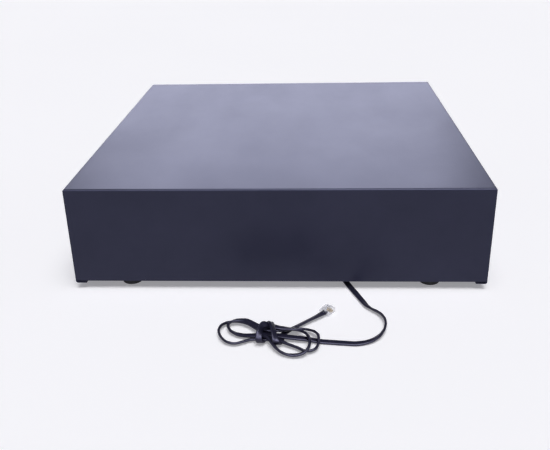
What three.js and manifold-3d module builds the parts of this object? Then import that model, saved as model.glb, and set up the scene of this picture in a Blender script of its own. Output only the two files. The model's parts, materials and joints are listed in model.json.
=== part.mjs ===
// Electronic cash drawer: a sheet-steel case on four rubber feet, with a drawer on
// ball-bearing slides, a coin and note till, a solenoid latch, a key lock and a flat
// modular cord that leaves the underside and ends in a knotted hank and a clear plug.
//
// Millimetres, +Z up. The origin is on the floor under the middle of the case.
// The drawer opens towards -Y, so the plain rear panel faces +Y.

import * as THREE from "three";
import { mergeVertices } from "three/addons/utils/BufferGeometryUtils.js";
import Module from "manifold-3d";

const wasm = await Module();
wasm.setup();

// ---------------------------------------------------------------- dimensions

const WIDTH = 410;
const DEPTH = 430;
const HEIGHT = 107.5;
const SHEET = 1.2;
const GAP = 0.3;
const BEND = 2;

const HALF_W = WIDTH / 2;
const HALF_D = DEPTH / 2;
const INNER_X = HALF_W - SHEET;
const INNER_REAR = HALF_D - SHEET;

const FOOT = { height: 7.8, top: 11.3, bottom: 10.3, x: 151.5, y: 196 };
const FOOT_HOLE = 2.3;
const CASE_BOTTOM = 6.6;
const REAR_EDGE = 9;
const RETURN_FLANGE = 11;

const PAN_TOP = FOOT.height + GAP + SHEET;
const PAN_FLANGE = 10;

const DRAWER = { x: 190, front: -198, rear: 165, bottom: 32, top: 92, sheet: 1 };
const PANEL = { x: 201.6, front: -211, rear: -198.3, bottom: 11, top: 104.2 };

const SLIDE = { z: 60, height: 35, sheet: 1.2, front: -195, rear: 185, lip: 193.5 };
const INNER_SLIDE = { height: 21, reach: 199.9 };
const CAGE = { length: 96, y: -8, balls: 4, ball: 2.5 };

const TILL = { x: 187, front: -193.5, rear: 162.5, top: 89, wall: 2.2 };
const TILL_BOTTOM = DRAWER.bottom + DRAWER.sheet + GAP;
const TILL_FLOOR = TILL_BOTTOM + 2.7;
const COIN_BACK = -24.2;
const NOTE_COUNT = 5;
const COIN_COLUMNS = 4;
const COIN_ROWS = 2;

const ROD = { y: 152, z: 80, radius: 1.6 };
const CLIP = { length: 90, angle: THREE.MathUtils.degToRad(25.1) };

const LOCK = { z: 22, body: 8, plug: 5.4, shaft: 2.5, finger: 13 };

const LATCH = { y: 204, z: 50, lift: THREE.MathUtils.degToRad(18), arm: 14 };
const STRIKER = { y: 178, z: 42, radius: 2.5 };
const PLUNGER = { radius: 4.2, travel: 4.4 };
const BRACKET = { x: 20, sheet: 1.5, front: 184, rear: 208.5, top: 100 };
const SOLENOID = { bottom: 64, top: 99, plate: 2.5, depth: 20, coil: 13 };

const EJECTOR = { x: 75, z: 60, tube: 8, bore: 6.5, front: 184, rear: 212 };
const SWITCH = { x: BRACKET.x + BRACKET.sheet + GAP, y: 186, z: 66 };

const CORD = 6.2;
const CORD_Z = 3.3;
const GROMMET = { x: -57, y: 170, radius: 9, flat: 6 };
const PLUG = { x: -44.8, y: 263.6, width: 9.7, length: 12.5, height: 6.6 };
const PLUG_HEADING = THREE.MathUtils.degToRad(-126);

const RIGHT_END = { x: -16, y: 312, radius: 24 };
const LEFT_END = { x: 32, y: 299, radius: 21 };
const HANK_HEIGHT = 9.5;

// The stretch from the grommet, out under the rear panel and round into the hank.
const CORD_RUN = [
  [-58.9, 176.1, 4.4],
  [-62.6, 187.6, 3.6],
  [-68.7, 207, CORD_Z],
  [-76.5, 231, CORD_Z],
  [-85.5, 252.5, CORD_Z],
  [-95.5, 265, CORD_Z],
  [-99.7, 279, CORD_Z],
  [-96.5, 295, CORD_Z],
  [-86.5, 308, CORD_Z],
  [-70, 313, CORD_Z],
  [-53.2, 311.5, CORD_Z],
  [-40.6, 310.7, CORD_Z],
];

// The stretch from the hank to the plug.
const PLUG_LEAD = [
  [-23.2, 287.4, 4.2],
  [-29.5, 280, 3.8],
  [-37.5, 271.8, 3.5],
  [-44.6, 263.9, CORD_Z],
];

// The lead inside the case, from the grommet up to the solenoid's connector.
const INNER_LEAD = [
  [-57, 171, 11.8],
  [-56, 174, 26],
  [-46, 184, 48],
  [-31, 192, 60],
  [-26.2, 194, 68],
  [-26, 194, 73.6],
];

// ------------------------------------------------------------------ materials

const steel = (name, color, roughness, metalness = 0.9) =>
  new THREE.MeshStandardMaterial({ name, color, roughness, metalness });

const blackPaint = () => steel("black_paint", 0x2c2d3a, 0.5, 0.3);
const zinc = () => steel("zinc_steel", 0xa9adb2, 0.35);
const darkSteel = () => steel("dark_steel", 0x5d6064, 0.45);
const brass = () => steel("brass", 0xb6995a, 0.35);
const blackPlastic = () => steel("black_plastic", 0x1c1c20, 0.45, 0);
const greyPlastic = () => steel("grey_plastic", 0x44464c, 0.5, 0);
const rubber = () => steel("rubber", 0x141416, 0.85, 0);
const copper = () => steel("copper_coil", 0x9a4f2c, 0.4, 0.6);
const cordSkin = () => steel("cord_skin", 0x2a2a36, 0.4, 0);
const clearPlastic = () => steel("clear_plastic", 0xdfe2ea, 0.15, 0);

// -------------------------------------------------------------------- shapes

function box(x0, x1, y0, y1, z0, z1) {
  const geometry = new THREE.BoxGeometry(x1 - x0, y1 - y0, z1 - z0);
  return geometry.translate((x0 + x1) / 2, (y0 + y1) / 2, (z0 + z1) / 2);
}

// Turns a geometry that was made along +Z so that it runs along the given axis.
const ALONG = {
  x: new THREE.Matrix4().set(0, 0, 1, 0, 1, 0, 0, 0, 0, 1, 0, 0, 0, 0, 0, 1),
  y: new THREE.Matrix4().set(0, 1, 0, 0, 0, 0, 1, 0, 1, 0, 0, 0, 0, 0, 0, 1),
  z: new THREE.Matrix4(),
};

// A cylinder from one place to another along an axis. The two coordinates that
// the axis leaves over follow it in the order x, y, z, x, y.
function rod(axis, radius, from, to, first, second, sides = 24) {
  const geometry = new THREE.CylinderGeometry(radius, radius, to - from, sides);
  geometry.rotateX(Math.PI / 2).translate(first, second, (from + to) / 2);
  return geometry.applyMatrix4(ALONG[axis]);
}

// A flat outline made solid between two places along an axis.
function slab(axis, outline, from, to, curveSegments = 6) {
  const options = { depth: to - from, bevelEnabled: false, curveSegments };
  const geometry = new THREE.ExtrudeGeometry(outline, options).translate(0, 0, from);
  return geometry.applyMatrix4(ALONG[axis]);
}

function roundedRectangle(x0, x1, y0, y1, radius) {
  const shape = new THREE.Shape();
  shape.absarc(x1 - radius, y1 - radius, radius, 0, Math.PI / 2);
  shape.absarc(x0 + radius, y1 - radius, radius, Math.PI / 2, Math.PI);
  shape.absarc(x0 + radius, y0 + radius, radius, Math.PI, Math.PI * 1.5);
  shape.absarc(x1 - radius, y0 + radius, radius, Math.PI * 1.5, Math.PI * 2);
  shape.closePath();
  return shape;
}

function outline(points) {
  return new THREE.Shape(points.map(([x, y]) => new THREE.Vector2(x, y)));
}

// A turned piece: pairs of radius and height round the Z axis.
function turned(points, sides = 24) {
  const profile = points.map(([r, z]) => new THREE.Vector2(r, z));
  profile.push(profile[0].clone());
  return new THREE.LatheGeometry(profile, sides).rotateX(Math.PI / 2);
}

function curveThrough(points) {
  const vectors = points.map((point) => new THREE.Vector3(...point));
  return new THREE.CatmullRomCurve3(vectors, false, "centripetal");
}

function tube(curve, radius, steps, sides = 8) {
  const section = new THREE.Shape();
  for (let side = 0; side < sides; side += 1) {
    const turn = (side / sides) * Math.PI * 2;
    const corner = [Math.cos(turn) * radius, Math.sin(turn) * radius];
    if (side === 0) section.moveTo(...corner);
    else section.lineTo(...corner);
  }
  section.closePath();
  return new THREE.ExtrudeGeometry(section, { steps, extrudePath: curve, bevelEnabled: false });
}

// A round wire wound along the X axis.
class Helix extends THREE.Curve {
  constructor(radius, length, turns) {
    super();
    Object.assign(this, { radius, length, turns });
  }

  getPoint(t, target = new THREE.Vector3()) {
    const turn = t * this.turns * Math.PI * 2;
    const y = Math.cos(turn) * this.radius;
    const z = Math.sin(turn) * this.radius;
    return target.set(t * this.length, y, z);
  }
}

// ------------------------------------------------------------------ booleans

function toSolid(geometry) {
  const bare = geometry.clone();
  bare.deleteAttribute("normal");
  bare.deleteAttribute("uv");
  const merged = mergeVertices(bare, 1e-4);
  const vertProperties = new Float32Array(merged.attributes.position.array);
  const triVerts = new Uint32Array(merged.index.array);
  return new wasm.Manifold(new wasm.Mesh({ numProp: 3, vertProperties, triVerts }));
}

function toGeometry(solid) {
  const mesh = solid.getMesh();
  const geometry = new THREE.BufferGeometry();
  geometry.setAttribute("position", new THREE.BufferAttribute(mesh.vertProperties, 3));
  geometry.setIndex(new THREE.BufferAttribute(mesh.triVerts, 1));
  return geometry;
}

function join(...pieces) {
  return toGeometry(pieces.map(toSolid).reduce((sum, piece) => sum.add(piece)));
}

function cut(body, ...tools) {
  return toGeometry(tools.map(toSolid).reduce((rest, tool) => rest.subtract(tool), toSolid(body)));
}

function overlap(body, tool) {
  return toGeometry(toSolid(body).intersect(toSolid(tool)));
}

// ----------------------------------------------------------------- the scene

const cashDrawer = new THREE.Group();
const casework = new THREE.Group();
const drawer = new THREE.Group();
const cordSet = new THREE.Group();
cashDrawer.add(casework, drawer, cordSet);

function add(group, name, geometry, material, place = [0, 0, 0]) {
  const mesh = new THREE.Mesh(geometry, material);
  mesh.name = name;
  mesh.position.set(...place);
  group.add(mesh);
  return mesh;
}

const SIDES = [
  ["left", -1],
  ["right", 1],
];
const CORNERS = [
  ["front_left", -1, -1],
  ["front_right", 1, -1],
  ["rear_left", -1, 1],
  ["rear_right", 1, 1],
];

// ---------------------------------------------------------------------- case

// Top, sides and rear in one folded sheet, open at the front. The side walls run
// a little below the rear panel and turn in under the base pan.
function caseShell() {
  const outer = roundedRectangle(-HALF_W, HALF_W, CASE_BOTTOM, HEIGHT, BEND);
  const inner = roundedRectangle(-INNER_X, INNER_X, CASE_BOTTOM + SHEET, HEIGHT - SHEET, BEND - SHEET);
  const opening = HALF_W - RETURN_FLANGE;
  const sleeve = cut(
    slab("y", swapped(outer), -HALF_D, HALF_D),
    slab("y", swapped(inner), -HALF_D - 1, HALF_D + 1),
    box(-opening, opening, -HALF_D - 1, HALF_D + 1, CASE_BOTTOM - 1, REAR_EDGE),
  );
  const rear = box(-INNER_X - 0.1, INNER_X + 0.1, INNER_REAR, HALF_D, REAR_EDGE, HEIGHT - 0.1);
  const side = new THREE.Shape();
  side.moveTo(-HALF_D - 1, 0);
  side.lineTo(HALF_D, 0);
  side.absarc(HALF_D - BEND, HEIGHT - BEND, BEND, 0, Math.PI / 2);
  side.lineTo(-HALF_D - 1, HEIGHT);
  side.closePath();
  return overlap(join(sleeve, rear), slab("x", side, -HALF_W - 1, HALF_W + 1));
}

// An outline drawn as (x, z) in the (z, x) order that a slab along Y takes.
function swapped(shape) {
  const points = shape.getPoints(6).map((p) => [p.y, p.x]);
  return outline(points.reverse());
}

function basePan() {
  const bottom = PAN_TOP - SHEET;
  const x = INNER_X - GAP;
  const y = INNER_REAR - GAP;
  const lip = HALF_W - RETURN_FLANGE - GAP;
  const body = join(
    box(-x, x, -HALF_D, y, bottom, PAN_TOP),
    box(-x, -x + SHEET, -y, y, bottom, PAN_TOP + PAN_FLANGE),
    box(x - SHEET, x, -y, y, bottom, PAN_TOP + PAN_FLANGE),
    box(-x, x, y - SHEET, y, bottom, PAN_TOP + PAN_FLANGE),
    box(-lip, lip, -HALF_D, -HALF_D + SHEET, CASE_BOTTOM, PAN_TOP),
  );
  const holes = CORNERS.map(([, sx, sy]) => rod("z", FOOT_HOLE, 0, 20, sx * FOOT.x, sy * FOOT.y, 20));
  holes.push(rod("z", 7.3, 0, 20, GROMMET.x, GROMMET.y, 32));
  return cut(body, ...holes);
}

function foot() {
  const { height, top, bottom } = FOOT;
  return turned([
    [FOOT_HOLE, 4.2],
    [4.8, 4.2],
    [4.8, 0],
    [bottom - 0.5, 0],
    [bottom, 0.5],
    [top, height - 1],
    [top - 0.4, height],
    [FOOT_HOLE, height],
  ]);
}

function footScrew() {
  return turned(
    [
      [0, 1.4],
      [3.4, 1.4],
      [4, 2.2],
      [4, 3.9],
      [2, 3.9],
      [2, 10.6],
      [0, 10.6],
    ],
    16,
  );
}

// The fixed channel of a slide, drawn for the right side and mirrored for the left.
function outerSlide(sign) {
  const { z, height, sheet, front, rear, lip } = SLIDE;
  const back = INNER_X - GAP;
  const low = z - height / 2;
  const high = z + height / 2;
  const section = outline([
    [low, lip],
    [low, back],
    [high, back],
    [high, lip],
    [high - sheet, lip],
    [high - sheet, back - sheet],
    [low + sheet, back - sheet],
    [low + sheet, lip],
  ].map(([a, b]) => [a, b * sign]));
  return slab("y", section, front, rear);
}

function innerSlide(sign) {
  const { z, sheet } = SLIDE;
  const { height, reach } = INNER_SLIDE;
  const web = DRAWER.x + GAP;
  const low = z - height / 2;
  const high = z + height / 2;
  const section = outline([
    [low, web],
    [low, reach],
    [low + sheet, reach],
    [low + sheet, web + sheet],
    [high - sheet, web + sheet],
    [high - sheet, reach],
    [high, reach],
    [high, web],
  ].map(([a, b]) => [a, b * sign]));
  return slab("y", section, DRAWER.front + 0.5, DRAWER.rear);
}

// A strip that bends round the inner slide and holds a row of balls above and below.
function ballCage(sign) {
  const { length, y, balls, ball } = CAGE;
  const row = (SLIDE.height / 2 - SLIDE.sheet + INNER_SLIDE.height / 2) / 2;
  const web = 201.2;
  const arm = 194.6;
  const start = y - length / 2;
  const end = y + length / 2;
  const x = (a, b) => [Math.min(a * sign, b * sign), Math.max(a * sign, b * sign)];
  const pieces = [box(...x(web - 0.5, web + 0.5), start, end, SLIDE.z - row, SLIDE.z + row)];
  for (const up of [-1, 1]) {
    const z = SLIDE.z + up * row;
    pieces.push(box(...x(arm, web + 0.5), start, end, z - 0.5, z + 0.5));
    for (let index = 0; index < balls; index += 1) {
      const along = y + ((index + 0.5) / balls - 0.5) * length;
      pieces.push(new THREE.SphereGeometry(ball, 8, 6).translate(sign * 197.4, along, z));
    }
  }
  return join(...pieces);
}

add(casework, "case_shell", caseShell(), blackPaint());
add(casework, "base_pan", basePan(), blackPaint());
for (const [corner, sx, sy] of CORNERS) {
  const place = [sx * FOOT.x, sy * FOOT.y, 0];
  add(casework, `foot_${corner}`, foot(), rubber(), place);
  add(casework, `foot_screw_${corner}`, footScrew(), zinc(), place);
}
for (const [side, sign] of SIDES) {
  add(casework, `slide_outer_${side}`, outerSlide(sign), zinc());
  add(casework, `ball_cage_${side}`, ballCage(sign), darkSteel());
}

// --------------------------------------------------------------------- latch

// An upright channel with its open side to the drawer. It carries the hook's pin
// and the solenoid between its cheeks.
function latchBracket() {
  const { x, sheet, front, rear, top } = BRACKET;
  const low = PAN_TOP + GAP;
  const body = join(
    box(-x - sheet, x + sheet, rear, rear + sheet, low, top),
    box(-x - sheet, -x, front, rear + sheet, low, top),
    box(x, x + sheet, front, rear + sheet, low, top),
    box(-x - sheet, x + sheet, front, rear + sheet, low, low + sheet),
  );
  return cut(body, rod("x", 2.8, -30, 30, LATCH.y, LATCH.z));
}

function solenoidFrame() {
  const { bottom, top, plate, depth } = SOLENOID;
  const x = BRACKET.x - GAP;
  const y = LATCH.y - LATCH.arm;
  const body = box(-x, x, y - depth / 2, y + depth / 2, bottom, top);
  const window = box(-x + plate, x - plate, y - depth, y + depth, bottom + plate, top - plate);
  return cut(body, window, rod("z", PLUNGER.radius + 0.5, 0, 90, 0, y));
}

function solenoidCoil() {
  const { bottom, top, plate, coil } = SOLENOID;
  const low = bottom + plate + GAP;
  const high = top - plate - GAP;
  const bore = PLUNGER.radius + GAP;
  return turned([
    [bore, low],
    [coil, low],
    [coil, low + 1.5],
    [coil - 2, low + 1.5],
    [coil - 2, high - 1.5],
    [coil, high - 1.5],
    [coil, high],
    [bore, high],
  ]);
}

// The armature in its raised place: a round core, and a fork with a cross pin
// that holds the hook.
function solenoidPlunger() {
  const y = LATCH.y - LATCH.arm;
  const pinZ = LATCH.z + PLUNGER.travel;
  return join(
    rod("z", PLUNGER.radius, 62, 92, 0, y),
    box(-4, -2, y - 3, y + 3, pinZ - 3, 62.5),
    box(2, 4, y - 3, y + 3, pinZ - 3, 62.5),
    rod("x", 1.5, -4, 4, y, pinZ, 16),
  );
}

// The hook, drawn latched with its nose down in front of the striker pin.
function latchHook() {
  const { y, z, arm } = LATCH;
  const noseRear = STRIKER.y - STRIKER.radius - GAP;
  const noseFront = noseRear - 5.7;
  const under = STRIKER.z + STRIKER.radius + 0.5;
  const plate = outline([
    [y, z + 4],
    [noseFront, z + 4],
    [noseFront, STRIKER.z - 1],
    [noseRear - 1.2, STRIKER.z - 3.5],
    [noseRear, STRIKER.z - 3.5],
    [noseRear, under],
    [y, under],
  ].reverse());
  const slot = roundedRectangle(y - arm - 2.6, y - arm + 1.9, z - 1.85, z + 1.85, 1.84);
  const body = join(slab("x", plate, -1.5, 1.5), rod("x", 4.1, -6, 6, y, z));
  return cut(body, slab("x", slot, -3, 3), rod("x", 2.6, -10, 10, y, z));
}

function torsionSpring() {
  const coil = tube(new Helix(3.6, 8, 4), 0.5, 44, 6);
  return coil.translate(8, LATCH.y, LATCH.z);
}

add(casework, "latch_bracket", latchBracket(), zinc());
add(casework, "hook_pivot_pin", rod("x", 2.5, -23, 23, LATCH.y, LATCH.z), darkSteel());
add(casework, "solenoid_frame", solenoidFrame(), zinc());
add(casework, "solenoid_coil", solenoidCoil(), copper(), [0, LATCH.y - LATCH.arm, 0]);
add(casework, "solenoid_plunger", solenoidPlunger(), darkSteel());
add(casework, "hook_torsion_spring", torsionSpring(), darkSteel());

// The hook is stored raised, so its group turns it up about the pivot pin.
const hook = new THREE.Group();
hook.position.set(0, LATCH.y, LATCH.z);
hook.rotation.x = -LATCH.lift;
casework.add(hook);
add(hook, "latch_hook", latchHook(), zinc(), [0, -LATCH.y, -LATCH.z]);

// ------------------------------------------------------- ejector and switch

function ejectGuide() {
  const { x, z, tube: outer, bore, front, rear } = EJECTOR;
  const low = PAN_TOP + GAP;
  const body = join(
    rod("y", outer, front, rear, z, x, 32),
    box(x - 8, x + 8, rear - 1.5, rear, low, z),
    box(x - 8, x + 8, rear - 24, rear, low, low + 1.5),
  );
  return cut(body, rod("y", bore, front - 1, rear - 1.5, z, x, 32));
}

function ejectPlunger() {
  const { x, z } = EJECTOR;
  return join(
    rod("y", 6, DRAWER.rear + 0.6, 170, z, x),
    rod("y", 3.5, 169, 192, z, x),
    rod("y", 6.2, 187, 190, z, x),
  );
}

function ejectSpring() {
  const { x, z, rear } = EJECTOR;
  const coil = tube(new Helix(5, 15, 4), 0.6, 44, 6).rotateZ(Math.PI / 2);
  return coil.translate(x, rear - 17.5, z);
}

// A sprung strip with a roller that the drawer's rear wall holds back.
function switchLever() {
  const { x, y, z } = SWITCH;
  const strip = outline([
    [y - 1.6, z + 1.4],
    [y - 1.2, z + 2],
    [y - 15, z + 17.4],
    [y - 15.7, z + 16.9],
  ]);
  const width = [x + 1, x + 5];
  return join(
    slab("x", strip, ...width),
    rod("x", 1.1, ...width, y - 1.5, z + 2, 12),
    rod("x", 2.5, ...width, y - 17, z + 18, 16),
  );
}

add(casework, "eject_guide", ejectGuide(), zinc());
add(casework, "eject_plunger", ejectPlunger(), blackPlastic());
add(casework, "eject_spring", ejectSpring(), darkSteel());
const switchBox = box(SWITCH.x, SWITCH.x + 6.4, SWITCH.y, SWITCH.y + 20, SWITCH.z, SWITCH.z + 10);
add(casework, "switch_body", switchBox, greyPlastic());
add(casework, "switch_lever", switchLever(), zinc());

// ------------------------------------------------------------ drawer and lock

function drawerPan() {
  const { x, front, rear, bottom, top, sheet } = DRAWER;
  const body = box(-x, x, front, rear, bottom, top);
  const inside = box(-x + sheet, x - sheet, front + sheet, rear - sheet, bottom + sheet, top + 1);
  const holes = SIDES.map(([, sign]) => rod("y", 2, front - 1, front + 3, 39, sign * 120, 16));
  return cut(body, inside, ...holes);
}

// A folded front with its edges turned back, two note slots and the lock's hole.
function drawerFront() {
  const { x, front, rear, bottom, top } = PANEL;
  const skin = 1.5;
  const face = swapped(roundedRectangle(-x, x, bottom, top, 3));
  const holes = [
    box(-x + SHEET, x - SHEET, front + skin, rear - SHEET, bottom + SHEET, top - SHEET),
    box(-150, 150, rear - 5, rear + 1, 46, 98),
    rod("y", LOCK.body + GAP, front - 1, rear + 1, LOCK.z, 0, 32),
  ];
  for (const [, sign] of SIDES) {
    holes.push(rod("y", 2, rear - 3, rear + 1, 39, sign * 120, 16));
    holes.push(box(sign * 110 - 75, sign * 110 + 75, front - 1, front + 3, 97, 100));
  }
  return cut(slab("y", face, front, rear), ...holes);
}

function frontScrew(sign) {
  const head = DRAWER.front + DRAWER.sheet + GAP;
  return join(
    rod("y", 3.5, head, head + 1.8, 39, sign * 120, 20),
    rod("y", 1.6, head - 8, head + 0.5, 39, sign * 120, 16),
  );
}

function lockBarrel() {
  const body = join(
    rod("y", 9.5, PANEL.front - 2.1, PANEL.front - GAP, LOCK.z, 0, 32),
    rod("y", LOCK.body, PANEL.front - 1, -187, LOCK.z, 0, 32),
  );
  return cut(body, rod("y", LOCK.plug + 0.1, -220, -180, LOCK.z, 0, 32));
}

function lockNut() {
  const ring = rod("y", 9.6, PANEL.rear + GAP, PANEL.rear + GAP + 3, LOCK.z, 0, 8);
  return cut(ring, rod("y", LOCK.body + GAP, -210, -190, LOCK.z, 0, 32));
}

function lockPlug() {
  const body = rod("y", LOCK.plug, PANEL.front - 2.4, -187, LOCK.z, 0, 32);
  return cut(body, box(-0.8, 0.8, -220, -198, LOCK.z - 3.6, LOCK.z + 3.6));
}

// The long shaft that carries the key's turn under the drawer to the latch.
function releaseShaft() {
  const { z, shaft, finger } = LOCK;
  return join(
    rod("y", shaft, -187 + GAP, 178, z, 0),
    box(-finger, 0, 172, 176, z - 1.5, z + 1.5),
  );
}

function shaftBearing() {
  const top = DRAWER.bottom - GAP;
  const body = join(
    box(-9, 9, 148, 149.5, LOCK.z - 6, top),
    box(-9, 9, 138, 149.5, top - 1.5, top),
  );
  return cut(body, rod("y", LOCK.shaft + 0.15, 130, 160, LOCK.z, 0));
}

function strikerBracket() {
  const face = DRAWER.rear + GAP;
  const body = join(
    box(-13.5, 13.5, face, face + 1.5, 33, 52),
    box(-13.5, -12, face, 183.5, 36, 50),
    box(12, 13.5, face, 183.5, 36, 50),
  );
  return cut(body, rod("x", STRIKER.radius + GAP, -20, 20, STRIKER.y, STRIKER.z));
}

add(drawer, "drawer_pan", drawerPan(), blackPaint());
add(drawer, "drawer_front", drawerFront(), blackPaint());
for (const [side, sign] of SIDES) {
  add(drawer, `slide_inner_${side}`, innerSlide(sign), zinc());
  add(drawer, `front_screw_${side}`, frontScrew(sign), zinc());
}
add(drawer, "lock_barrel", lockBarrel(), brass());
add(drawer, "lock_nut", lockNut(), brass());
add(drawer, "lock_plug", lockPlug(), brass());
add(drawer, "release_shaft", releaseShaft(), zinc());
add(drawer, "shaft_bearing", shaftBearing(), zinc());
add(drawer, "striker_bracket", strikerBracket(), zinc());
const strikerPin = rod("x", STRIKER.radius, -15, 15, STRIKER.y, STRIKER.z);
add(drawer, "striker_pin", strikerPin, darkSteel());

// ---------------------------------------------------------------------- till

const noteWidth = (TILL.x - TILL.wall) * 2 / NOTE_COUNT;
const noteCentre = (index) => (index - (NOTE_COUNT - 1) / 2) * noteWidth;

function tillBody() {
  const { x, front, rear, top, wall } = TILL;
  return cut(
    box(-x, x, front, rear, TILL_BOTTOM, top),
    box(-x + wall, x - wall, front + wall, COIN_BACK, TILL_FLOOR, top + 1),
    box(-x + wall, x - wall, COIN_BACK + wall, rear - wall, TILL_FLOOR, top + 1),
  );
}

function noteDivider() {
  const front = COIN_BACK + TILL.wall + GAP;
  const rear = TILL.rear - TILL.wall - GAP;
  const low = TILL_FLOOR + GAP;
  const plate = outline([
    [front, low],
    [rear, low],
    [rear, 86],
    [front + 24, 86],
    [front, 70],
  ]);
  return cut(slab("x", plate, -0.9, 0.9), rod("x", ROD.radius + GAP, -2, 2, ROD.y, ROD.z));
}

// A lift-out block with two rows of coin cups, each scooped out to a round floor.
function coinTray() {
  const wall = 2.4;
  const x = TILL.x - TILL.wall - GAP;
  const front = TILL.front + TILL.wall + GAP;
  const rear = COIN_BACK - GAP;
  const top = 86;
  const pitchX = (x * 2 - wall) / COIN_COLUMNS;
  const pitchY = (rear - front - wall) / COIN_ROWS;
  const cups = [];
  for (let column = 0; column < COIN_COLUMNS; column += 1) {
    for (let row = 0; row < COIN_ROWS; row += 1) {
      const x0 = -x + wall + column * pitchX;
      const y0 = front + wall + row * pitchY;
      const scoop = roundedRectangle(y0, y0 + pitchY - wall, TILL_FLOOR + 3, top + 40, 30);
      cups.push(slab("x", scoop, x0, x0 + pitchX - wall));
    }
  }
  return cut(box(-x, x, front, rear, TILL_FLOOR + GAP, top), ...cups);
}

// A sprung arm that holds the notes down, with a round nose at its end.
function noteClip() {
  const { length } = CLIP;
  const arm = outline([
    [3, -1.5],
    [3, 1.5],
    [-length, 1.5],
    [-length, -1.5],
  ].reverse());
  const body = join(
    rod("x", 4, -12, 12, 0, 0),
    slab("x", arm, -6, 6),
    rod("x", 5, -9, 9, -length, 0),
  );
  return cut(body, rod("x", ROD.radius + 0.1, -15, 15, 0, 0));
}

add(drawer, "till_body", tillBody(), blackPlastic());
add(drawer, "coin_tray", coinTray(), blackPlastic());
const rodEnd = TILL.x - TILL.wall - GAP;
add(drawer, "clip_rod", rod("x", ROD.radius, -rodEnd, rodEnd, ROD.y, ROD.z), zinc());
for (let index = 1; index < NOTE_COUNT; index += 1) {
  const x = noteCentre(index) - noteWidth / 2;
  add(drawer, `bill_divider_${index}`, noteDivider(), blackPlastic(), [x, 0, 0]);
}
for (let index = 0; index < NOTE_COUNT; index += 1) {
  const place = [noteCentre(index), ROD.y, ROD.z];
  const clip = add(drawer, `bill_clip_${index + 1}`, noteClip(), greyPlastic(), place);
  clip.rotation.x = CLIP.angle;
}

// --------------------------------------------------------------------- cord

// A snap-in relief. Its lower boss has a flat that faces the way the cord leaves.
function cableGrommet() {
  const { x, y, radius, flat } = GROMMET;
  const bottom = PAN_TOP - SHEET;
  const body = join(
    rod("z", radius, 1, bottom - GAP, x, y, 32),
    rod("z", radius - 2, 2, PAN_TOP + 2, x, y, 32),
    rod("z", radius, PAN_TOP + GAP, PAN_TOP + 2, x, y, 32),
  );
  const heading = Math.atan2(CORD_RUN[1][1] - CORD_RUN[0][1], CORD_RUN[1][0] - CORD_RUN[0][0]);
  const tool = box(flat, flat + 10, -20, 20, 0, bottom - GAP).rotateZ(heading).translate(x, y, 0);
  return cut(body, tool);
}

// The outer shape of the hank: two round ends of different size and the straight
// lines that touch both.
function hankSolid() {
  const dx = LEFT_END.x - RIGHT_END.x;
  const dy = LEFT_END.y - RIGHT_END.y;
  const axis = Math.atan2(dy, dx);
  const spread = Math.acos((RIGHT_END.radius - LEFT_END.radius) / Math.hypot(dx, dy));
  const shape = new THREE.Shape();
  shape.absarc(LEFT_END.x, LEFT_END.y, LEFT_END.radius, axis - spread, axis + spread);
  const back = Math.PI * 2;
  shape.absarc(RIGHT_END.x, RIGHT_END.y, RIGHT_END.radius, axis + spread, axis - spread + back);
  shape.closePath();
  return slab("z", shape, 0, HANK_HEIGHT, 16);
}

// A six-way plug: a clear block with a sprung tab on its upper face.
function modularPlug() {
  const { width, length, height } = PLUG;
  const half = width / 2;
  return join(
    box(0, length, -half, half, 0, height - 1.6),
    box(0, length - 3, -half, half, height - 2, height),
    box(-1, length - 2, -1.6, 1.6, height - 0.5, height + 1),
  );
}

add(casework, "cable_grommet", cableGrommet(), rubber());
add(casework, "internal_lead", tube(curveThrough(INNER_LEAD), 2, 16), cordSkin());
const connectorX = -BRACKET.x - BRACKET.sheet - GAP;
add(casework, "lead_connector", box(connectorX - 8, connectorX, 188, 200, 74, 86), greyPlastic());

add(cordSet, "cord_run", tube(curveThrough(CORD_RUN), CORD / 2, 36), cordSkin());
add(cordSet, "cord_hank", hankSolid(), cordSkin());
add(cordSet, "cord_plug_lead", tube(curveThrough(PLUG_LEAD), CORD / 2, 10), cordSkin());
const plug = add(cordSet, "modular_plug", modularPlug(), clearPlastic());
plug.position.set(PLUG.x, PLUG.y, GAP);
plug.rotation.z = PLUG_HEADING;

export default cashDrawer;
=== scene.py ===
"""A cash drawer seen from behind, on a plain pale floor.

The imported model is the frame. This script adds the camera, the light, the flat cord with
its knotted hank, its clear plug, rounded edges, and a procedural material on every piece.
Everything is in metres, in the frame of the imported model: the rear panel faces +Y.
"""

import json
from math import cos, pi, radians, sin

import bpy
from mathutils import Matrix, Vector


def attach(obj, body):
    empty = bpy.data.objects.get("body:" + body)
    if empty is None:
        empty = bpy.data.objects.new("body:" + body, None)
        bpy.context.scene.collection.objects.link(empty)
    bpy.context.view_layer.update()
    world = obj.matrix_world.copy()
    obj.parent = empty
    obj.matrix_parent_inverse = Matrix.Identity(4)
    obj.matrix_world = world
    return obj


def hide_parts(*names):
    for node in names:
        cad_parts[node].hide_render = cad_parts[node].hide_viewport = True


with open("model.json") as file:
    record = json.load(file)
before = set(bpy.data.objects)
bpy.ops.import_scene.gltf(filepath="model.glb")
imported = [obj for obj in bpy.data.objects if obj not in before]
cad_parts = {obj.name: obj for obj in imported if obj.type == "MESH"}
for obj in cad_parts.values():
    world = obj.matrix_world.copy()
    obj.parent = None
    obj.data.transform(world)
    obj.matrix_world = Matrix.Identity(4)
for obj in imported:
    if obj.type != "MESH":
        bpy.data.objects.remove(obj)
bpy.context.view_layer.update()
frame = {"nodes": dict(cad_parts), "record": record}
MM = 0.001


# ------------------------------------------------------------------ mesh tools

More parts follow.
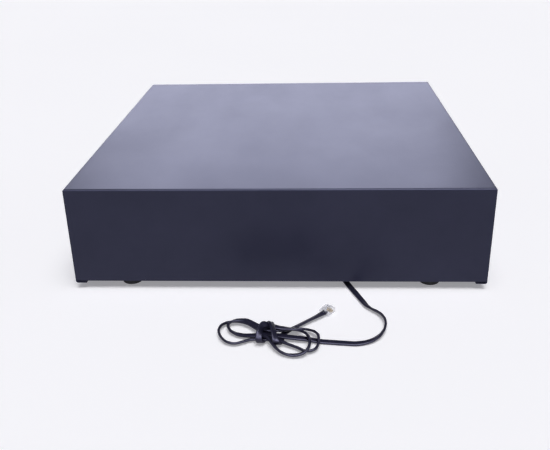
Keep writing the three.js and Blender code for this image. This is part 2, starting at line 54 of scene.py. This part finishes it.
def from_faces(name, points, faces, material, smooth=True):
    """A new object in the scene, with one material, made from points and faces."""
    mesh = bpy.data.meshes.new(name)
    mesh.from_pydata([tuple(p) for p in points], [], faces)
    mesh.update()
    mesh.materials.append(material)
    for polygon in mesh.polygons:
        polygon.use_smooth = smooth
    piece = bpy.data.objects.new(name, mesh)
    bpy.context.scene.collection.objects.link(piece)
    return piece


# ---------------------------------------------------------------------- camera

CAMERA_AT = Vector((-31.42, 841.2, 353.0)) * MM
CAMERA_FORWARD = Vector((0.049173, -0.910411, -0.410773))
CAMERA_UP = Vector((-0.000761, -0.411305, 0.911498))
LENS = 46.87
SENSOR_WIDTH = 36
NEAREST_SEEN = 0.01
FARTHEST_SEEN = 50


def make_camera():
    data = bpy.data.cameras.new("camera")
    data.sensor_width = SENSOR_WIDTH
    data.lens = LENS
    data.clip_start = NEAREST_SEEN
    data.clip_end = FARTHEST_SEEN
    camera = bpy.data.objects.new("camera", data)
    bpy.context.scene.collection.objects.link(camera)
    right = CAMERA_FORWARD.cross(CAMERA_UP)
    turn = Matrix((right, CAMERA_UP, -CAMERA_FORWARD)).transposed()
    camera.matrix_world = Matrix.Translation(CAMERA_AT) @ turn.to_4x4()
    bpy.context.scene.camera = camera


make_camera()


# ------------------------------------------------------------------- materials

class Nodes:
    """Short calls that add and join the nodes of one material."""

    def __init__(self, name):
        self.material = bpy.data.materials.new(name)
        self.material.use_nodes = True
        self.tree = self.material.node_tree
        self.shader = self.tree.nodes["Principled BSDF"]

    def add(self, kind, **values):
        """A new node; a value is a setting of its own, or an input named with _ for a space."""
        node = self.tree.nodes.new(kind)
        for key, value in values.items():
            if hasattr(node, key):
                setattr(node, key, value)
            else:
                node.inputs[key.replace("_", " ")].default_value = value
        return node

    def join(self, source, target):
        self.tree.links.new(source, target)

    def place(self):
        """The place on the object, in its own metres."""
        return self.add("ShaderNodeTexCoord").outputs["Object"]

    def noise(self, scale, detail=3.0, roughness=0.55, stretch=(1, 1, 1)):
        """Noise in the object's own metres; scale is in features per metre."""
        mapping = self.add("ShaderNodeMapping")
        mapping.inputs["Scale"].default_value = stretch
        self.join(self.place(), mapping.inputs["Vector"])
        node = self.add("ShaderNodeTexNoise", Scale=scale, Detail=detail, Roughness=roughness)
        self.join(mapping.outputs["Vector"], node.inputs["Vector"])
        return node.outputs["Fac"]

    def ramp(self, source, low, high, from_low=0.3, from_high=0.7):
        """source, taken from its own span to the span low to high."""
        node = self.add("ShaderNodeMapRange")
        node.inputs["From Min"].default_value = from_low
        node.inputs["From Max"].default_value = from_high
        node.inputs["To Min"].default_value = low
        node.inputs["To Max"].default_value = high
        self.join(source, node.inputs["Value"])
        return node.outputs["Result"]

    def colours(self, source, *stops):
        """A colour ramp; each stop is a place and a linear colour."""
        node = self.add("ShaderNodeValToRGB")
        elements = node.color_ramp.elements
        while len(elements) < len(stops):
            elements.new(0.5)
        for element, (place, colour) in zip(elements, stops):
            element.position = place
            element.color = (*colour, 1)
        self.join(source, node.inputs["Fac"])
        return node.outputs["Color"]

    def bump(self, source, strength, depth, before=None):
        """A normal bent by source, depth metres deep, on top of the bump before it."""
        node = self.add("ShaderNodeBump", Strength=strength, Distance=depth)
        self.join(source, node.inputs["Height"])
        if before:
            self.join(before, node.inputs["Normal"])
        return node.outputs["Normal"]

    def set(self, **sockets):
        """Sets or joins the shader's own sockets, named with _ for a space."""
        for key, value in sockets.items():
            socket = self.shader.inputs[key.replace("_", " ")]
            if isinstance(value, bpy.types.NodeSocket):
                self.join(value, socket)
            elif isinstance(value, tuple) and len(value) == 3:
                socket.default_value = (*value, 1)
            else:
                socket.default_value = value
        return self.material


def powder_coat():
    """Near-black with a blue cast, orange-peeled and faintly marked by wiping, with large cloudy
    patches of base colour that are painted reflection.
    """
    n = Nodes("black_powder_coat")
    speck = n.noise(2600, 2)
    peel = n.noise(700, 3)
    wipe = n.noise(13, 4, 0.62, (1, 0.5, 0.6))
    # Painted reflection: the haze patches make the base colour lighter and darker at random, in
    # place of the panels' patchy reflections.
    haze = n.noise(9, 5, 0.66)
    colour = n.colours(
        haze, (0.32, (0.0095, 0.0097, 0.0265)), (0.68, (0.0165, 0.0166, 0.0385))
    )
    bumps = n.bump(speck, 0.25, 0.00006, n.bump(peel, 0.22, 0.00012))
    return n.set(
        Base_Color=colour,
        Roughness=n.ramp(wipe, 0.34, 0.38, 0.34, 0.66),
        Normal=bumps,
        Specular_IOR_Level=0.40,
        Specular_Tint=(0.72, 0.75, 1.0),
    )


def zinc_plate():
    """Dull plated steel, cloudy, with a fine grain along Y."""
    n = Nodes("zinc_plate")
    cloud = n.noise(60, 4, 0.6)
    grain = n.noise(900, 2, 0.5, (1, 0.08, 1))
    colour = n.colours(cloud, (0.3, (0.25, 0.257, 0.265)), (0.7, (0.36, 0.362, 0.36)))
    return n.set(
        Base_Color=colour,
        Metallic=1.0,
        Roughness=n.ramp(cloud, 0.44, 0.56),
        Normal=n.bump(grain, 0.12, 0.00005),
    )


def oiled_steel():
    """Dark steel, smeared with oil."""
    n = Nodes("oiled_steel")
    cloud = n.noise(120, 3)
    colour = n.colours(cloud, (0.3, (0.16, 0.155, 0.15)), (0.7, (0.27, 0.265, 0.26)))
    return n.set(
        Base_Color=colour,
        Metallic=1.0,
        Roughness=n.ramp(cloud, 0.3, 0.5),
        Normal=n.bump(n.noise(1500, 2), 0.1, 0.00004),
    )


def turned_brass():
    """Brass with fine turning marks."""
    n = Nodes("turned_brass")
    rings = n.noise(2400, 1, 0.4, (0.1, 1, 0.1))
    cloud = n.noise(180, 3)
    colour = n.colours(cloud, (0.3, (0.50, 0.36, 0.14)), (0.7, (0.66, 0.50, 0.22)))
    return n.set(
        Base_Color=colour,
        Metallic=1.0,
        Roughness=n.ramp(cloud, 0.22, 0.36),
        Normal=n.bump(rings, 0.12, 0.00004),
    )


def moulded_plastic(name, dark, light, rough):
    """Plastic with a fine spark-eroded grain, between two near shades."""
    n = Nodes(name)
    cloud = n.noise(25, 3)
    spark = n.noise(3400, 2)
    return n.set(
        Base_Color=n.colours(cloud, (0.3, dark), (0.7, light)),
        Roughness=n.ramp(cloud, rough, rough + 0.1),
        Normal=n.bump(spark, 0.3, 0.00006),
    )


def foot_rubber():
    """Matt rubber with grey dust in its pores."""
    n = Nodes("foot_rubber")
    dust = n.noise(220, 4, 0.65)
    colour = n.colours(dust, (0.35, (0.011, 0.011, 0.013)), (0.75, (0.03, 0.03, 0.033)))
    return n.set(
        Base_Color=colour,
        Roughness=n.ramp(dust, 0.72, 0.88),
        Normal=n.bump(n.noise(1800, 3), 0.3, 0.0001),
    )


def coil_winding():
    """Enamelled wire, seen as fine rings round the upright bobbin, with painted shade in the
    grooves between turns.
    """
    n = Nodes("coil_winding")
    wave = n.add("ShaderNodeTexWave", bands_direction="Z", Scale=900, Distortion=0.6)
    n.join(n.place(), wave.inputs["Vector"])
    # Painted shade: the colour darkens in the wave's troughs, the grooves between turns, and is
    # copper on their crests.
    copper_with_groove_shade = n.colours(wave.outputs["Fac"], (0.2, (0.12, 0.035, 0.014)), (0.8, (0.42, 0.15, 0.06)))
    return n.set(
        Base_Color=copper_with_groove_shade,
        Metallic=0.6,
        Roughness=n.ramp(n.noise(300), 0.28, 0.4),
        Normal=n.bump(wave.outputs["Fac"], 0.5, 0.0002),
    )


def cord_sheath():
    """Satin PVC, slightly marked where it has been folded."""
    n = Nodes("cord_sheath")
    marks = n.noise(140, 4, 0.6)
    colour = n.colours(marks, (0.3, (0.007, 0.0065, 0.017)), (0.75, (0.014, 0.013, 0.029)))
    return n.set(
        Base_Color=colour,
        Roughness=n.ramp(marks, 0.32, 0.44),
        Normal=n.bump(n.noise(900, 2), 0.15, 0.00008),
        Specular_IOR_Level=0.5,
        Specular_Tint=(0.78, 0.76, 1.0),
    )


def clear_polycarbonate():
    """Thin clear plastic: mostly see-through, with a pale grey body and gloss."""
    n = Nodes("clear_polycarbonate")
    haze = n.noise(260, 2)
    return n.set(
        Base_Color=n.colours(haze, (0.3, (0.62, 0.63, 0.70)), (0.7, (0.74, 0.75, 0.81))),
        Roughness=n.ramp(haze, 0.08, 0.14),
        Alpha=0.3,
        IOR=1.58,
    )


def contact_gold():
    """Thin gold plate, a little worn."""
    n = Nodes("contact_gold")
    worn = n.noise(700, 2)
    return n.set(
        Base_Color=n.colours(worn, (0.3, (0.62, 0.50, 0.30)), (0.7, (0.74, 0.62, 0.40))),
        Metallic=1.0,
        Roughness=n.ramp(worn, 0.2, 0.32),
    )


def pale_floor():
    """An even white table, lit a little from inside, so its shadows stay faint."""
    n = Nodes("pale_floor")
    tone = n.noise(1.4, 2)
    white = n.colours(tone, (0.3, (0.885, 0.88, 0.905)), (0.7, (0.895, 0.89, 0.915)))
    return n.set(
        Base_Color=white,
        Emission_Color=white,
        Emission_Strength=0.32,
        Roughness=0.7,
        Specular_IOR_Level=0.0,
    )


PAINT = powder_coat()
ZINC = zinc_plate()
STEEL = oiled_steel()
BRASS = turned_brass()
ABS = moulded_plastic("black_abs", (0.012, 0.012, 0.014), (0.02, 0.02, 0.023), 0.42)
GREY = moulded_plastic("grey_nylon", (0.05, 0.051, 0.056), (0.08, 0.081, 0.088), 0.36)
RUBBER = foot_rubber()
WINDING = coil_winding()
SHEATH = cord_sheath()
CLEAR = clear_polycarbonate()
GOLD = contact_gold()

BY_SLOT = {
    "black_paint": PAINT,
    "zinc_steel": ZINC,
    "dark_steel": STEEL,
    "brass": BRASS,
    "black_plastic": ABS,
    "grey_plastic": GREY,
    "rubber": RUBBER,
    "copper_coil": WINDING,
    "cord_skin": SHEATH,
    "clear_plastic": CLEAR,
}


def finish_cad_nodes():
    """Gives every node of the frame the material of its slot in the record."""
    for part in frame["record"]["subparts"]:
        mesh = frame["nodes"][part["node"]].data
        mesh.materials.clear()
        mesh.materials.append(BY_SLOT[part["material_slot"]])


finish_cad_nodes()


# ------------------------------------------------------------------------ cord

CORD_WIDTH = 6.2 * MM
CORD_THICK = 2.3 * MM
CORD_STEP = 1.2 * MM  # between two sections of the ribbon
CORD_VALLEY = 0.965  # thickness at the shallow valley, as a share of the whole
ROUND_STEPS = 6  # in each of the ribbon's two round edges
FLOOR_GAP = 0.15  # millimetres of air under the cord at its stops
FLAT = 0
ACROSS = Vector((1, 0, 0))  # wound round the bundle, with its width along X

# Each stop is x, y, z in millimetres and how the ribbon lies there: degrees of roll
# from flat, or the direction of its width. It is one line from the grommet to the plug.
OUT_OF_CASE = [
    (-58.9, 176.1, 4.4, FLAT),
    (-62.6, 187.6, 2.6, FLAT),
    (-69.4, 207, 1.3, FLAT),
    (-75.6, 224, 1.3, 4),
    (-81.2, 239.4, 1.3, 10),
    (-84.8, 249.6, 1.7, 24),
    (-89.4, 256.9, 2.6, 41),
    (-94.6, 262.8, 2.9, 46),
    (-98.4, 270.5, 3.2, 60),
    (-99.7, 279, 3.2, 80),
    (-98.8, 287.5, 3.2, -80),
    (-95.6, 296.5, 3.0, -56),
    (-90.2, 304.4, 2.4, -30),
    (-82.4, 310.2, 1.7, -12),
    (-72, 313, 1.3, FLAT),
    (-61, 312.4, 1.3, FLAT),
    (-50, 311.2, 1.3, FLAT),
    (-40, 310.4, 1.6, FLAT),
    (-28, 309.6, 3.4, FLAT),
    (-15, 308, 3.9, FLAT),
    (-4, 305.6, 3.9, FLAT),
]

FIRST_LEFT_LOOP = [
    (7, 302.6, 4.0, FLAT),
    (16, 294.4, 4.2, -20),
    (24.6, 286.4, 3.9, -28),
    (33, 282, 3.4, -30),
    (41.4, 281.4, 3.0, -34),
    (47.6, 285.2, 3.0, -44),
    (50.6, 292.2, 3.2, -68),
    (50, 300.4, 3.2, 80),
    (46.6, 308.2, 3.0, 58),
    (41.2, 314, 2.6, 42),
    (34.4, 315.6, 2.3, 34),
    (27.6, 312.6, 2.2, 32),
    (20, 309, 2.4, 22),
    (8, 310.2, 3.8, FLAT),
    (-3, 312.2, 3.8, 10),
]

OUTER_RIGHT_RING = [
    (-11.4, 316.6, 3.0, 32),
    (-20, 321.4, 2.6, 34),
    (-27.6, 326.4, 2.3, 32),
    (-33.8, 325.4, 2.8, 44),
    (-37.8, 319.4, 3.4, 70),
    (-38.6, 311.6, 6.2, -83),
    (-36.8, 303, 5.6, -48),
    (-31.4, 296.8, 4.4, -34),
    (-23.4, 293.8, 3.8, -32),
    (-13.6, 295.4, 4.4, -20),
    (-3, 299.4, 6.3, FLAT),
]

SECOND_LEFT_LOOP = [
    (8, 298.8, 6.4, FLAT),
    (18, 291, 5.9, -6),
    (27, 283.2, 5.4, -6),
    (36, 281.6, 4.7, -16),
    (42.2, 285.2, 4.0, -48),
    (42.2, 292.2, 3.4, 68),
    (37.6, 298.8, 3.0, 34),
    (31, 302.6, 2.8, 14),
    (23, 305.6, 4.0, 8),
    (13, 308.2, 6.0, FLAT),
    (5.4, 311.6, 6.3, 20),
]

LOWER_LOOP = [
    (2, 317.6, 5.0, 44),
    (-2.6, 325.2, 3.6, 48),
    (-9.4, 331, 2.6, 36),
    (-17.4, 332.8, 2.4, 20),
    (-24.8, 331.6, 3.6, 30),
    (-29.2, 327, 5.4, 58),
    (-30.8, 318.8, 7.0, -83),
    (-29.2, 309.4, 7.0, -54),
    (-24.2, 301.8, 6.4, -36),
    (-15.6, 299.2, 6.9, -24),
    (-6, 300.6, 8.7, -8),
    (0.4, 299.8, 9.6, FLAT),
    (5.6, 299.4, 11.2, 10),
    (9.6, 301.8, 13.4, 40),
]

# The strand comes over the bundle and winds once and a quarter round it: down its front,
# back underneath, up behind, over, and down and under again. It moves along X and grows
# wider as it goes. It lies face on to the bundle, and leans on its edge over the top.
LEANING = Vector((0.66, 0.40, 0.64))
OVER_THE_TOP = [
    (11.6, 305.6, 12.9, LEANING),
    (12.8, 311.0, 12.2, LEANING),
    (13.3, 315.4, 10.2, ACROSS),
]
KNOT_Y = 305.2  # with KNOT_Z, the middle of the bundle, in millimetres
KNOT_Z = 7.1
KNOT_START_X = 13.4
KNOT_PITCH = 15.4
KNOT_TURNS = 1.25
KNOT_WIDE = 12.0  # half the knot's width at its start
KNOT_GROWS = 3.0  # what each turn adds to that
KNOT_HIGH = 5.8  # half the knot's height
STOPS_PER_TURN = 14

PLUG_TAIL = [
    (-8.6, 297.4, 1.4, 12),
    (-15.5, 290.4, 1.8, 24),
    (-22.6, 284.2, 2.4, 28),
    (-30, 278.0, 3.0, 28),
    (-37.4, 271.8, 3.4, 22),
    (-43.4, 266.2, 3.5, 8),
    (-45.4, 263.4, 3.5, FLAT),
]


def knot_turns():
    """Stops of the winding round the bundle, which starts at its front and goes down."""
    stops = []
    count = round(KNOT_TURNS * STOPS_PER_TURN)
    for index in range(count + 1):
        turned = index / STOPS_PER_TURN
        angle = turned * 2 * pi
        x = KNOT_START_X - KNOT_PITCH * turned
        y = KNOT_Y + (KNOT_WIDE + KNOT_GROWS * turned) * cos(angle)
        z = KNOT_Z - KNOT_HIGH * sin(angle)
        over = max(0.0, -sin(angle))
        stops.append((x, y, z, ACROSS.lerp(LEANING, over)))
    return stops


ROUTE = (
    OUT_OF_CASE
    + FIRST_LEFT_LOOP
    + OUTER_RIGHT_RING
    + SECOND_LEFT_LOOP
    + LOWER_LOOP
    + OVER_THE_TOP
    + knot_turns()
    + PLUG_TAIL
)


def at_rest(stop):
    """The stop's place in metres, lifted until the rolled ribbon clears the floor."""
    x, y, z, lie = stop
    if not isinstance(lie, Vector):
        reach = (CORD_WIDTH - CORD_THICK) / 2 * abs(sin(radians(lie))) + CORD_THICK / 2
        z = max(z, reach / MM + FLOOR_GAP)
    return Vector((x, y, z)) * MM


def curve_samples(stops, step):
    """Samples of the smooth line through the stops: each a place and the width's way."""
    places = [at_rest(stop) for stop in stops]
    last = len(places) - 1
    knots = [0.0]
    for here, there in zip(places, places[1:]):
        knots.append(knots[-1] + (there - here).length ** 0.5)
    slopes = []
    for index in range(last + 1):
        before, after = max(index - 1, 0), min(index + 1, last)
        slopes.append((places[after] - places[before]) / (knots[after] - knots[before]))
    widths = []
    for stop, slope in zip(stops, slopes):
        before = widths[-1] if widths else None
        widths.append(ribbon_width(stop[3], slope.normalized(), before))
    samples = []
    for index in range(last):
        start, end = places[index], places[index + 1]
        span = knots[index + 1] - knots[index]
        leaving, arriving = slopes[index] * span, slopes[index + 1] * span
        pieces = max(2, round((end - start).length / step))
        is_last = index == last - 1
        for piece in range(pieces + is_last):
            t = piece / pieces
            width = widths[index].lerp(widths[index + 1], smooth_step(t))
            samples.append((hermite(start, end, leaving, arriving, t), width))
    return samples


def smooth_step(t):
    """From 0 to 1, level at both ends."""
    return t * t * (3 - 2 * t)


def hermite(start, end, leaving, arriving, t):
    """A point at t, from 0 to 1, on the curve with these ends and end slopes."""
    eased = smooth_step(t)
    return (
        start * (1 - eased)
        + end * eased
        + leaving * (t * (1 - t) ** 2)
        - arriving * (t * t * (1 - t))
    )


def ribbon_width(lie, along, before):
    """The direction of the ribbon's width at a stop, on the same side as at the last."""
    if isinstance(lie, Vector):
        width = lie.normalized()
    else:
        side = along.cross(Vector((0, 0, 1))).normalized()
        width = side * cos(radians(lie)) + side.cross(along) * sin(radians(lie))
    if before and width.dot(before) < 0:
        width = -width
    return width


def ribbon(name, stops, material):
    """A flat cable with round edges along the stops. Returns it and its centreline."""
    samples = curve_samples(stops, CORD_STEP)
    centres = [centre for centre, _ in samples]
    section = flat_section(CORD_WIDTH, CORD_THICK)
    points = []
    for index, (centre, width) in enumerate(samples):
        after = centres[min(index + 1, len(centres) - 1)]
        before = centres[max(index - 1, 0)]
        along = (after - before).normalized()
        side = (width - along * width.dot(along)).normalized()
        up = along.cross(side)
        points += [centre + side * a + up * b for a, b in section]
    ring = len(section)
    last_ring = (len(samples) - 1) * ring
    faces = []
    for row in range(len(samples) - 1):
        for spot in range(ring):
            here, there = row * ring + spot, row * ring + (spot + 1) % ring
            faces.append((here, there, there + ring, here + ring))
    faces.append(tuple(range(ring))[::-1])
    faces.append(tuple(range(last_ring, last_ring + ring)))
    return from_faces(name, points, faces, material), centres


def flat_section(wide, thick):
    """Points of a stadium shape, with a shallow valley along each flat side."""
    radius = thick / 2
    straight = wide / 2 - radius
    points = []
    for end, start in ((1, -pi / 2), (-1, pi / 2)):
        for index in range(ROUND_STEPS + 1):
            turn = start + pi * index / ROUND_STEPS
            points.append((end * straight + cos(turn) * radius, sin(turn) * radius))
        for place in (0.5, 0.0, -0.5):
            points.append((end * place * straight, end * radius * CORD_VALLEY))
    return points


cord, cord_line = ribbon("flat_cord", ROUTE, SHEATH)
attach(cord, "case")
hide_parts("cord_run", "cord_hank", "cord_plug_lead")


# ------------------------------------------------------------------------ plug

PLUG_AT = Vector((-43.6, 265.6, 0.3)) * MM
PLUG_HEADING = radians(-126)
PLUG_HALF_WIDTH = 4.83
LATCH_HALF_WIDTH = 1.6
SHELL_ROUND = 0.2
CONTACT_ROUND = 0.06
CONTACTS = 6
CONTACT_PITCH = 1.02
CONTACT_THICK = 0.36

# Side views in millimetres: along the plug from the cord's mouth, and up.
PLUG_SIDE = [
    (0, 1.2), (0.7, 0.5), (8.2, 0.5), (8.9, 0.05), (11.9, 0.05), (12.4, 0.6), (12.4, 4.9),
    (11.9, 5.5), (10.4, 5.5), (10.0, 6.2), (4.2, 6.2), (3.5, 5.5), (0.6, 5.5), (0, 4.9),
]
PLUG_LATCH_SIDE = [
    (11.6, 4.9), (12.3, 4.9), (12.3, 5.7), (10.6, 6.9), (5, 7.35), (-0.7, 7.5), (-0.7, 6.9),
    (4.8, 6.6), (9.8, 6.25), (11.2, 5.6),
]
CONTACT_SIDE = [
    (8.9, 0.2), (11.2, 0.2), (11.7, 0.7), (11.7, 1.6), (10.4, 1.7), (10.4, 3.6),
    (10.0, 4.4), (9.6, 3.6), (9.6, 1.7), (8.9, 1.5),
]


def add_prism(points, faces, side, low, high):
    """Adds a side view, made solid from low to high across the plug, in millimetres."""
    first = len(points)
    count = len(side)
    points += [(x, low, z) for x, z in side] + [(x, high, z) for x, z in side]
    faces.append(tuple(first + i for i in range(count)))
    faces.append(tuple(first + count + i for i in reversed(range(count))))
    for i in range(count):
        j = (i + 1) % count
        faces.append((first + i, first + count + i, first + count + j, first + j))


def plug_piece(name, prisms, material, round_by):
    """A piece of the plug, made of prisms with rounded edges, where the plug lies."""
    points, faces = [], []
    for side, low, high in prisms:
        add_prism(points, faces, side, low, high)
    place = Matrix.Translation(PLUG_AT) @ Matrix.Rotation(PLUG_HEADING, 4, "Z")
    points = [place @ (Vector(p) * MM) for p in points]
    piece = from_faces(name, points, faces, material, smooth=False)
    bevel = piece.modifiers.new("bevel", "BEVEL")
    bevel.width = round_by * MM
    bevel.segments = 2
    bevel.limit_method = "ANGLE"
    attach(piece, "case")
    return piece


def make_plug():
    """A clear six-way plug with its latch on top and gold contacts at its nose."""
    shell = plug_piece(
        "plug_shell",
        [
            (PLUG_SIDE, -PLUG_HALF_WIDTH, PLUG_HALF_WIDTH),
            (PLUG_LATCH_SIDE, -LATCH_HALF_WIDTH, LATCH_HALF_WIDTH),
        ],
        CLEAR,
        SHELL_ROUND,
    )
    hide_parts("modular_plug")
    blades = []
    for index in range(CONTACTS):
        middle = (index - (CONTACTS - 1) / 2) * CONTACT_PITCH
        blades.append((CONTACT_SIDE, middle - CONTACT_THICK / 2, middle + CONTACT_THICK / 2))
    plug_piece("plug_contacts", blades, GOLD, CONTACT_ROUND)


make_plug()


# ------------------------------------------------------------- the frame's nodes

EDGE_ROUND = {"case_shell": 0.25, "base_pan": 0.25, "drawer_pan": 0.2, "till_body": 0.6}
USUAL_EDGE_ROUND = 0.3
EDGE_STEPS = 3
EDGE_FROM = radians(32)  # sharper turns than this are rounded
LEVEL_WITHIN = radians(0.5)  # faces that are this level with each other become one
WELD_WITHIN = 0.002 * MM
LARGE_FACES_FIRST = 80  # how far large faces lead the shading; 50 is neutral
NO_BEVEL = ("spring", "ball_cage", "internal_lead")


def soften(node):
    """Rounds a node's edges a little and shades its curved faces smoothly."""
    piece = frame["nodes"][node]
    mesh = piece.data
    if "custom_normal" in mesh.attributes:
        mesh.attributes.remove(mesh.attributes["custom_normal"])
    for polygon in mesh.polygons:
        polygon.use_smooth = True
    weld = piece.modifiers.new("weld", "WELD")
    weld.merge_threshold = WELD_WITHIN
    if any(word in node for word in NO_BEVEL):
        return
    planar = piece.modifiers.new("planar", "DECIMATE")
    planar.decimate_type = "DISSOLVE"
    planar.angle_limit = LEVEL_WITHIN
    bevel = piece.modifiers.new("bevel", "BEVEL")
    bevel.limit_method = "ANGLE"
    bevel.angle_limit = EDGE_FROM
    bevel.width = EDGE_ROUND.get(node, USUAL_EDGE_ROUND) * MM
    bevel.segments = EDGE_STEPS
    shade = piece.modifiers.new("shade", "WEIGHTED_NORMAL")
    shade.weight = LARGE_FACES_FIRST


for node in frame["nodes"]:
    soften(node)


# ----------------------------------------------------------- the stage and light

ROOM_COLOUR = (0.80, 0.82, 1.0)
ROOM_STRENGTH = 0.1
ROOM_STRENGTH_IN_GLOSS = 0.42
BACKDROP_COLOUR = (0.904, 0.902, 0.943)
FLOOR_REACH = 12
CASE_TOP = (0, 0, 0.1)


def make_floor():
    signs = [(-1, -1), (1, -1), (1, 1), (-1, 1)]
    corners = [(x * FLOOR_REACH, y * FLOOR_REACH, 0) for x, y in signs]
    floor = from_faces("floor", corners, [(0, 1, 2, 3)], pale_floor(), smooth=False)


def make_world():
    """The camera sees a pale backdrop and gloss a dimmer room; it lights little by itself."""
    world = bpy.data.worlds.new("studio")
    world.use_nodes = True
    tree = world.node_tree
    rays = tree.nodes.new("ShaderNodeLightPath")
    room = add_background(tree, ROOM_COLOUR, ROOM_STRENGTH)
    in_gloss = add_background(tree, ROOM_COLOUR, ROOM_STRENGTH_IN_GLOSS)
    backdrop = add_background(tree, BACKDROP_COLOUR, 1.0)
    lit = mix_backgrounds(tree, rays.outputs["Is Glossy Ray"], room, in_gloss)
    shown = mix_backgrounds(tree, rays.outputs["Is Camera Ray"], lit, backdrop)
    tree.links.new(shown, tree.nodes["World Output"].inputs["Surface"])
    bpy.context.scene.world = world
    bpy.context.scene.view_settings.view_transform = "Standard"


def add_background(tree, colour, strength):
    node = tree.nodes.new("ShaderNodeBackground")
    node.inputs["Color"].default_value = (*colour, 1)
    node.inputs["Strength"].default_value = strength
    return node.outputs["Background"]


def mix_backgrounds(tree, share, first, second):
    node = tree.nodes.new("ShaderNodeMixShader")
    tree.links.new(share, node.inputs[0])
    tree.links.new(first, node.inputs[1])
    tree.links.new(second, node.inputs[2])
    return node.outputs["Shader"]


def add_light(data, place, aim):
    light = bpy.data.objects.new(data.name, data)
    bpy.context.scene.collection.objects.link(light)
    light.location = place
    light.rotation_euler = (Vector(aim) - Vector(place)).to_track_quat("-Z", "Y").to_euler()
    return light


def sky_light(name, place, strength, spread):
    """A wide soft white light from one direction, even over the whole floor."""
    data = bpy.data.lights.new(name, "SUN")
    data.energy = strength
    data.angle = radians(spread)
    add_light(data, place, (0, 0, 0))


def softbox(name, place, aim, size, power, colour):
    """A soft panel that shows in glossy surfaces and leaves the floor's light even."""
    data = bpy.data.lights.new(name, "AREA")
    data.shape = "RECTANGLE"
    data.size, data.size_y = size
    data.energy = power
    data.color = colour
    add_light(data, place, aim).visible_diffuse = False


make_floor()
make_world()
sky_light("overhead", (-0.1, 0.3, 1.2), 1.44, 42)
sky_light("edge_light", (-0.1, 0.5, 1.2), 0.62, 25)
softbox("behind", (0.22, -3.6, 2.1), CASE_TOP, (2.85, 3.0), 79, (0.76, 0.78, 1.0))
softbox("over_the_camera", (-0.3, 2.1, 1.75), CASE_TOP, (3.2, 1.4), 95, (0.86, 0.87, 1.0))
softbox("from_the_right", (-1.2, 1.3, 0.5), (-0.1, 0.2, 0.05), (0.9, 0.9), 5, (0.85, 0.87, 1.0))
